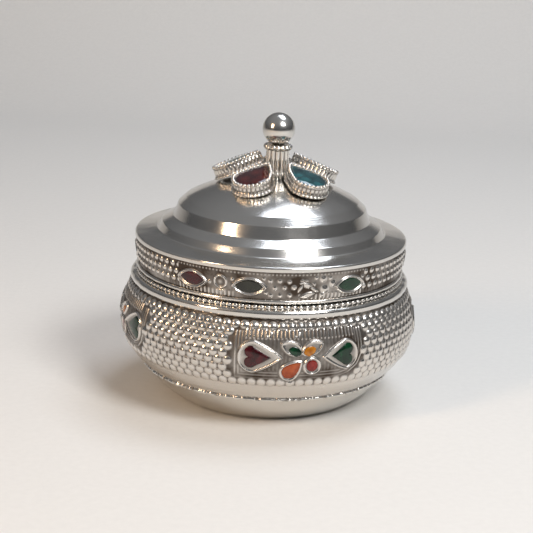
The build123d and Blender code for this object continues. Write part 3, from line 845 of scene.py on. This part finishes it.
# %% Press the lid band and fill its ovals
band_heights = np.linspace(BAND_BOTTOM, BAND_TOP, BAND_STEPS)
band_section = [(band_radius(z), z) for z in band_heights]
band_section += [(band_radius(z) - BAND_SHEET, z) for z in band_heights[::-10]]
lid_band = turned(
    "embossed_lid_band", band_section, BAND_COLUMNS, pressed_silver, "lid",
    "lid_band", band_relief,
)
for k, turn in enumerate(PATTERN_TURNS, start=1):
    for name, slot, at in OVALS:
        place = on_skin(at + turn, OVAL_HEIGHT, 0, band_radius)
        domed(
            f"{name}_oval_inlay_{k}", OVAL_INLAY, (0, 0), place, BAND_INLAY, "lid", slot,
            f"{name}_marquise_{k}", power=0.8,
        )
print("lid band has", len(lid_band.data.vertices), "points and 9 inlays")

# %% [markdown]
# ## Foot, seam and shoulder
#
# The foot is a shallow spun dish. The wire over its seam with the wall is hand-soldered, so it
# is lumpy and bright. At the shoulder a plain half-round ring caps the wall, and a toothed wire
# sits on it, just under the lid's edge. These sections are closed polygons with rounded corners.

# %% Foot and seam
FOOT_RADIUS, FOOT_STEP, FOOT_STEP_RADIUS = 20.0, 0.3, 17.5
PAN_SHEET = 0.8
PAN_BULGE = 0.65
SEAM_WIRE = 0.4
LUMP_HEIGHT = 0.055
seam_radius = float(wall_radius(WALL_BOTTOM))
lean = math.atan2(WALL_BOTTOM, seam_radius - FOOT_RADIUS)
bowed = (
    (FOOT_RADIUS + seam_radius) / 2 + PAN_BULGE * math.sin(lean),
    WALL_BOTTOM / 2 - PAN_BULGE * math.cos(lean),
)
seam_corner = (seam_radius, WALL_BOTTOM)
pan_side = arc((FOOT_RADIUS, 0), bowed, seam_corner, 24)[1:] + [seam_corner]
pan_inner = [(r - PAN_SHEET * math.sin(lean), z + PAN_SHEET * math.cos(lean)) for r, z in pan_side[::-1]]
pan_inner = [(r, min(z, WALL_BOTTOM)) for r, z in pan_inner if z > PAN_SHEET + 0.1]
pan_foot = [
    (0, FOOT_STEP), (FOOT_STEP_RADIUS - 0.15, FOOT_STEP), (FOOT_STEP_RADIUS, 0.15),
    (FOOT_STEP_RADIUS + 0.1, 0), (FOOT_RADIUS - 0.3, 0), (FOOT_RADIUS - 0.05, 0.03),
]
pan_section = pan_foot + pan_side + pan_inner + [(FOOT_RADIUS - 0.4, PAN_SHEET), (0, PAN_SHEET)]
turned(
    "spun_bottom_pan", dense(pan_section, 0.7), 480, spun_silver, "bowl",
    "bottom_pan", weld=True,
)


def ring_section(radius, height, thick, steps=20):
    """Round section of a wire ring."""
    turns = np.linspace(0, 2 * math.pi, steps, endpoint=False)
    return [(radius + thick * math.cos(t), height + thick * math.sin(t)) for t in turns]


def waves(angle, terms):
    """Sum of waves round the box, each with a count, a phase and a share."""
    turn = np.radians(angle)
    return sum(share * np.sin(turn * count + phase) for count, phase, share in terms)


def lumpy(angle, radius, height):
    """Solder lumps along the seam wire, from a few waves that don't line up."""
    lift = LUMP_HEIGHT * waves(angle, ((61, 1, 1), (97, 2 + height, 1), (143, 5, 0.8), (23, 0, 1)))
    return lift, np.clip(0.75 + 4 * lift, 0, 1)


turned(
    "soldered_seam_wire", ring_section(seam_radius + SEAM_WIRE / 2, WALL_BOTTOM, SEAM_WIRE), 1200,
    wire_silver, "bowl", "seam_wire", lumpy,
)
print("seam wire runs at radius", round(seam_radius, 2), "mm")

# %% Shoulder ring, toothed wire and the lid's rolled edge
# Each ring by its inner radius, outer radius, bottom and top
SHOULDER = (27.3, 30.2, 25.0, 26.9)
TOOTHED_WIRE = (28.2, 29.0, 26.9, 27.6)
EDGE_BEAD = (27.9, 29.0, 27.9, 28.8)
TEETH, TOOTH_HEIGHT, TOOTH_SINK = 135, 0.26, 0.2
EDGE_WAVE = 0.02


def boxed(size, radii):
    """Closed section of a ring with a rounded rectangular profile, outside going up."""
    inner, outer, low, high = size
    return rounded([(inner, low), (outer, low), (outer, high), (inner, high)], radii, 8)


def teeth(angle, radius, height):
    """Round teeth on the outer side and top of the toothed wire."""
    inner, outer, low, high = TOOTHED_WIRE
    wave = np.abs(np.cos(np.radians(angle) * TEETH / 2))
    skin = smoothstep(radius, inner + 0.1, outer - 0.3) * smoothstep(height, low - 0.1, low + 0.2)
    lift = (TOOTH_HEIGHT * np.sqrt(wave) - TOOTH_SINK) * skin
    return lift, np.clip(0.2 + 0.9 * wave, 0, 1) * np.ones_like(lift)


def rolled(angle, radius, height):
    """Slight waviness of an edge rolled by hand."""
    lift = EDGE_WAVE * waves(angle, ((17, 1, 1), (41, 3, 1), (7, 0, 1))) + 0 * radius
    return lift, np.ones_like(lift)


turned(
    "turned_shoulder_ring", dense(boxed(SHOULDER, (0.05, 0.8, 0.8, 0.1)), 0.3), 720, spun_silver,
    "bowl", "shoulder_ring", rolled,
)
turned(
    "toothed_wire", dense(boxed(TOOTHED_WIRE, (0.05, 0.15, 0.3, 0.3)), 0.12), 1620, wire_silver,
    "bowl", "milled_wire", teeth,
)
turned(
    "rolled_lid_edge", dense(boxed(EDGE_BEAD, (0.2, 0.42, 0.42, 0.1)), 0.15), 720, wire_silver,
    "lid", "lid_edge_wire", rolled,
)
print(TEETH, "teeth,", round(2 * math.pi * TOOTHED_WIRE[1] / TEETH, 2), "mm apart")

# %% [markdown]
# ## Stepped dome
#
# The lid's top is spun over a former in two steps, then polished, so each ridge carries its own
# line of light. The section follows the outside up to the crown and comes back 0.7 mm deeper.

# %% Spin the dome
DOME_SHEET = 0.7
# The flat flange on the band, then the two steps, then a cap of a sphere that ends flat
FLANGE = [(29.4, BAND_TOP), (29.4, 35.6), (24.6, 36.3)]
FLANGE_INSIDE = (23.9, BAND_TOP)
DOME_STEPS = [(23.7, 37.9), (21.2, 39.1), (20.3, 41.7), (18.6, 43.2)]
DOME_ROUNDING = [0.12, 0.4, 0.5, 0.5, 0.45, 0.45, 0.6]
CROWN_SPHERE = 38.8
CROWN_FLAT = 4.0
SCREW_HOLE = 1.05
# The finial and its flower are soldered a little to the right of the lid's middle
FINIAL_SHIFT = 0.7
crown_radius, crown_start = DOME_STEPS[-1]
crown_centre = crown_start - math.sqrt(CROWN_SPHERE**2 - crown_radius**2)
crown_radii = np.linspace(crown_radius, CROWN_FLAT, 30)[1:]
crown = [(r, crown_centre + math.sqrt(CROWN_SPHERE**2 - r * r)) for r in crown_radii]
crown_top = crown[-1][1]
inner_line = [(r - DOME_SHEET, z - DOME_SHEET) for r, z in DOME_STEPS + crown[:-1]]
inner_line = [FLANGE_INSIDE] + inner_line + [(SCREW_HOLE, crown_top - DOME_SHEET)]
corners = FLANGE + DOME_STEPS + crown + [(SCREW_HOLE, crown_top)] + inner_line[::-1]
radii = DOME_ROUNDING + [0] * (len(corners) - len(DOME_ROUNDING))


def hole_shift(r):
    """Moves the screw's hole aside within the flat of the crown."""
    return FINIAL_SHIFT * (1 - smoothstep(r, SCREW_HOLE, CROWN_FLAT - 0.5))


turned(
    "spun_lid_dome", dense(rounded(corners, radii, 8), 0.45), 720, spun_silver, "lid",
    "lid_dome", shift=hole_shift,
)
print("crown is flat at", round(crown_top, 2), "mm")

# %% [markdown]
# ## Flower of stone settings
#
# Five pear-shaped settings stand round the collet. Each is a strip of gallery wire, ribbed on
# its side, bent round a plate, with a beaded wire on top that holds the stone and a toothed
# foot. The strip is the pear's outline carried through a few levels, each larger or smaller
# than the last, and the beads are real little balls.

# %% Sizes of the settings
PETAL_SIZE = (11.2, 8.4)
PETAL_START = 3.1
# From the petal at the front left, each next one a fifth of a turn towards the right
PETAL_FIRST = -30.0
PETAL_TILTS = [17.0, 17.0, 24.0, 18.0, 24.0]
PETAL_LIFTS = [2.1, 2.1, 3.95, 2.3, 4.3]
PETAL_STONES = ["garnet_glass", "teal_glass", "teal_glass", "garnet_glass", "green_glass"]
STONE_SCALE, STONE_HEIGHTS = 0.865, (1.5, 2.35, 2.95)
BEAD_PITCH, BEAD_RADIUS, BEAD_LOOP, BEAD_LEVEL = 0.92, 0.43, 0.955, 2.52
STEPS_PER_RIB = 8
# Levels from the plate's underside, out over the foot, up the ribs and over the rim: scale about
# the middle, offset outward, height, depth of the ribs, and how well buffed a level without ribs is
PETAL_LEVELS = [
    (0.78, 0, 1.1, 0, 0.3), (0.78, 0, 0.05, 0, 0.6), (1.0, 0.0, 0.0, 0, 0.8), (1.0, 0.22, 0.05, 0.3, None),
    (1.0, 0.30, 0.25, 0.4, None), (1.0, 0.18, 0.48, 0.3, None), (1.0, 0.0, 0.6, 0.0, 0.1),
    (1.0, -0.02, 0.75, 0.26, None), (1.0, -0.02, 1.3, 0.28, None), (1.0, -0.02, 1.85, 0.26, None),
    (1.0, 0.0, 2.0, 0.0, 0.1), (1.0, 0.05, 2.15, 0.0, 0.5), (0.97, 0.0, 2.5, 0.0, 0.5),
    (0.90, 0.0, 2.55, 0.0, 0.5), (0.87, 0, 2.4, 0, 0.3), (0.87, 0, 1.5, 0, 0.2),
]


def petal_place(index):
    """Function that lays a flat point of petal number index, raised by out, in space."""
    turn = math.radians(PETAL_FIRST + 360 / len(PETAL_STONES) * index)
    dip = math.radians(PETAL_TILTS[index])
    outward = np.array([math.sin(turn), -math.cos(turn), 0])
    along = outward * math.cos(dip) - np.array([0, 0, math.sin(dip)])
    normal = outward * math.sin(dip) + np.array([0, 0, math.cos(dip)])
    side = np.cross(normal, along)
    root = np.array([FINIAL_SHIFT, 0, crown_top + PETAL_LIFTS[index]]) + along * PETAL_START

    def place(x, y, out):
        return tuple(root + along * x + side * y + normal * out)

    return place


def even_outline(outline, count):
    """Closed outline resampled to count points at equal distances along it, and its length."""
    closed = np.vstack([outline, outline[:1]])
    gone = np.concatenate([[0], np.cumsum(np.linalg.norm(np.diff(closed, axis=0), axis=1))])
    at = np.linspace(0, gone[-1], count, endpoint=False)
    return np.stack([np.interp(at, gone, closed[:, k]) for k in (0, 1)], -1), gone[-1]


def ball(centre, radius, rings=7, sides=10):
    """Points and faces of a small ball."""
    turns = 2 * math.pi * np.arange(sides) / sides
    across = np.stack([np.cos(turns), np.sin(turns), 0 * turns], -1)
    centre, up = np.array(centre), np.array([0, 0, radius])
    rises = math.pi * np.arange(1, rings) / rings
    loops = [centre + radius * math.sin(a) * across - up * math.cos(a) for a in rises]
    return shell(loops, centre - up, centre + up)


# %% Make the settings and their stones
pear_outline = pear(*PETAL_SIZE)
around = even_outline(pear_outline, 1)[1]
ribs = int(round(around / BEAD_PITCH))
rim = even_outline(pear_outline, ribs * STEPS_PER_RIB)[0]
sideways = np.roll(rim, -1, axis=0) - np.roll(rim, 1, axis=0)
sideways /= np.linalg.norm(sideways, axis=1, keepdims=True)
outward_normal = np.stack([sideways[:, 1], -sideways[:, 0]], -1)
rib_wave = np.sqrt(np.abs(np.cos(np.arange(len(rim)) * math.pi / STEPS_PER_RIB)))
petal_middle = np.array([0.55 * PETAL_SIZE[0], 0.0])
for index, stone in enumerate(PETAL_STONES):
    place = petal_place(index)
    loops, buffed = [], []
    for scale, offset, height, ribbing, shine in PETAL_LEVELS:
        level = petal_middle + (rim - petal_middle) * scale
        level = level + outward_normal * (offset + ribbing * (rib_wave[:, None] - 0.5))
        loops.append([place(x, y, height) for x, y in level])
        buffed += list(0.15 + 0.85 * rib_wave) if ribbing else [shine] * len(rim)
    ends = [place(*petal_middle, level[2]) for level in (PETAL_LEVELS[0], PETAL_LEVELS[-1])]
    points, faces = shell(loops, *ends)
    buffed += [0.3, 0.3]
    for x, y in petal_middle + (rim[::STEPS_PER_RIB] - petal_middle) * BEAD_LOOP:
        bead_points, bead_faces = ball(place(x, y, BEAD_LEVEL), BEAD_RADIUS)
        faces += [[len(points) + v for v in face] for face in bead_faces]
        points += bead_points
        buffed += [0.9] * len(bead_points)
    make_piece(
        f"beaded_petal_setting_{index + 1}", points, faces, wire_silver, "lid",
        f"petal_bezel_{index + 1}", buffed,
    )
    stone_outline = petal_middle + (pear_outline - petal_middle) * STONE_SCALE
    domed(
        f"petal_cabochon_{index + 1}", stone_outline, petal_middle, place, STONE_HEIGHTS, "lid",
        stone, f"petal_stone_{index + 1}", rings=12,
    )
print(ribs, "ribs and beads on each setting, outline", round(around, 1), "mm")

# %% [markdown]
# ## Finial
#
# The ball is turned solid and polished. It stands on a fluted tube with a beaded collar at its
# top and its foot, and a screw from under the lid holds both. Flutes and collars are a relief
# on a turned section, as on the wall.

# %% Collet and ball
COLLET_RADIUS, COLLET_HEIGHT = 2.55, 7.15
COLLET_TOP = crown_top + COLLET_HEIGHT
FLUTES, FLUTE_DEPTH = 14, 0.3
COLLAR_BEADS, COLLAR_BEAD_HEIGHT, COLLAR_BEAD_SINK = 16, 0.34, 0.22
# Heights between which the flutes start and end
FLUTED_STRETCH = (49.0, 49.4, 53.7, 54.0)
BALL_RADIUS, BALL_SINK = 3.5, 0.2
BALL_HEIGHT = COLLET_TOP + BALL_RADIUS - BALL_SINK
BORE_RADIUS, BORE_TOP = 1.0, COLLET_TOP + 2.6


def fluted(angle, radius, height):
    """Flutes along the tube and a ring of beads at each end of it."""
    turn = np.radians(angle)
    outer = smoothstep(radius, 1.6, 2.3)
    flute = np.abs(np.cos(turn * FLUTES / 2))
    tube = stretch(height, *FLUTED_STRETCH)
    beads = np.sqrt(np.abs(np.cos(turn * COLLAR_BEADS / 2)))
    collar = (1 - tube) * (COLLAR_BEAD_HEIGHT * beads - COLLAR_BEAD_SINK)
    lift = outer * (tube * FLUTE_DEPTH * (flute - 1) + collar)
    shine = tube * flute + (1 - tube) * beads
    return lift, np.clip(0.1 + shine, 0, 1) * np.ones_like(lift)


# Foot collar, tube and top collar, and the rounding of each corner
collet_corners = [
    (SCREW_HOLE, crown_top), (3.05, crown_top), (3.2, 48.4), (3.0, 49.0), (COLLET_RADIUS, 49.3),
    (COLLET_RADIUS, 53.7), (2.85, 54.0), (3.05, 54.4), (2.85, 54.8), (2.5, COLLET_TOP),
    (SCREW_HOLE, COLLET_TOP),
]
collet_rounding = [0, 0.1, 0.3, 0.2, 0.1, 0.1, 0.2, 0.2, 0.1, 0, 0]
turned(
    "fluted_collet", dense(rounded(collet_corners, collet_rounding, 5), 0.15), 336, wire_silver,
    "lid", "finial_collet", fluted, shift=lambda r: FINIAL_SHIFT,
)
ball_turns = np.linspace(-math.asin((BALL_HEIGHT - COLLET_TOP) / BALL_RADIUS), math.pi / 2, 60)[:-1]
ball_side = [(BALL_RADIUS * math.cos(a), BALL_HEIGHT + BALL_RADIUS * math.sin(a)) for a in ball_turns]
ball_bore = [(0, BALL_HEIGHT + BALL_RADIUS), (0, BORE_TOP), (BORE_RADIUS, BORE_TOP)]
turned(
    "turned_ball", [(BORE_RADIUS, COLLET_TOP)] + ball_side + ball_bore, 160, spun_silver, "lid",
    "finial_ball", weld=True, shift=lambda r: FINIAL_SHIFT,
)
print("ball is", 2 * BALL_RADIUS, "mm across")

# %% [markdown]
# ## Pieces that stay as they are
#
# The neck sleeve, the screw and the nut are plain turned pieces whose CAD shapes are right. They
# show only with the lid off, and only need their metal. Their meshes carry no buffed number, so
# they wear the film all over, as metal does that no wheel has reached.

# %% Metal for the plain pieces
plain_pieces = {"neck_sleeve": spun_silver, "finial_screw": wire_silver, "finial_nut": wire_silver}
for node_name, metal in plain_pieces.items():
    node_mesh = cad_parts[node_name].data
    node_mesh.materials.clear()
    node_mesh.materials.append(metal)
    print(node_name, "in", metal.name)

# %% [markdown]
# ## Floor, backdrop and light
#
# Polished metal shows its surroundings, so these are as much a part of its looks as its own
# material. A pale sheet runs under and behind the box. A soft box stands at the right, a small
# warm one at the left and a large one above, as in the photo, and the rest of the room is dim,
# so that the ridges keep dark lines beside the bright ones.

# %% Pale sheet
SWEEP_FRONT, SWEEP_BACK, SWEEP_CURVE, SWEEP_HALF = -1400.0, 330.0, 150.0, 1400.0
sweep_line = [(SWEEP_FRONT, 0.0), (SWEEP_BACK, 0.0)]
for t in np.linspace(0, math.pi / 2, 24)[1:]:
    sweep_line.append((SWEEP_BACK + SWEEP_CURVE * math.sin(t), SWEEP_CURVE * (1 - math.cos(t))))
sweep_points = [(x * MM, y * MM, z * MM) for y, z in sweep_line for x in (-SWEEP_HALF, SWEEP_HALF)]
sweep_faces = [(2 * k, 2 * k + 1, 2 * k + 3, 2 * k + 2) for k in range(len(sweep_line) - 1)]
sweep_mesh = bpy.data.meshes.new("pale_sheet")
sweep_mesh.from_pydata(sweep_points, [], sweep_faces)
sweep_mesh.polygons.foreach_set("use_smooth", [True] * len(sweep_faces))
paper, paper_tree, place = start_material("matt_white_paper")
fibre = {"Vector": place, "Scale": per_mm(1.5), "Detail": 4.0}
fibre = add_node(paper_tree, "TexNoise", fibre, "Fac")
tints = {"Factor": fibre, COLOUR_A: colour("#E9E6E1"), COLOUR_B: colour("#E1DED9")}
tint = add_node(paper_tree, "Mix", tints, MIXED, data_type="RGBA")
bump = {"Height": fibre, "Strength": 0.2, "Distance": 0.05 * MM}
bump = add_node(paper_tree, "Bump", bump, "Normal")
shader = {"Base Color": tint, "Roughness": 0.75, "Normal": bump}
shader = add_node(paper_tree, "BsdfPrincipled", shader, "BSDF")
add_node(paper_tree, "OutputMaterial", {"Surface": shader})
sweep_mesh.materials.append(paper)
sweep = bpy.data.objects.new("pale_sheet", sweep_mesh)
bpy.context.scene.collection.objects.link(sweep)
print("sheet is", 2 * SWEEP_HALF, "mm wide")

# %% Soft boxes and the room


def soft_box(name, place, aim, width, height, power, tint):
    """Area light in mm, facing a point."""
    light = bpy.data.lights.new(name, "AREA")
    light.shape = "RECTANGLE"
    light.size, light.size_y = width * MM, height * MM
    light.energy = power
    light.color = colour(tint)[:3]
    lamp = bpy.data.objects.new(name, light)
    lamp.location = Vector(place) * MM
    lamp.rotation_mode = "QUATERNION"
    lamp.rotation_quaternion = (Vector(place) - Vector(aim)).to_track_quat("Z", "Y")
    bpy.context.scene.collection.objects.link(lamp)


soft_box("key_box", (225, -300, 400), (0, 0, 30), 170, 170, 1.75, "#FFFFFF")
soft_box("warm_side_box", (-330, -280, 250), (0, 0, 30), 70, 160, 0.75, "#FFDDB8")
soft_box("top_box", (150, 150, 620), (20, 40, 0), 340, 240, 1.6, "#E9F2FF")

# The room grows lighter from the floor up
world = bpy.data.worlds.new("dim_room")
bpy.context.scene.world = world
world.use_nodes = True
room = world.node_tree
room.nodes.clear()
direction = add_node(room, "TexCoord", {}, "Generated")
height_up = add_node(room, "SeparateXYZ", {"Vector": direction}, "Z")
light_up = {"Value": height_up, "From Min": -0.1, "From Max": 0.9, "To Min": 0.05, "To Max": 0.28}
strength = add_node(room, "MapRange", light_up, "Result")
glow = {"Color": colour("#F2F4F8"), "Strength": strength}
glow = add_node(room, "Background", glow, "Background")
add_node(room, "OutputWorld", {"Surface": glow})
print("three soft boxes and a dim room")
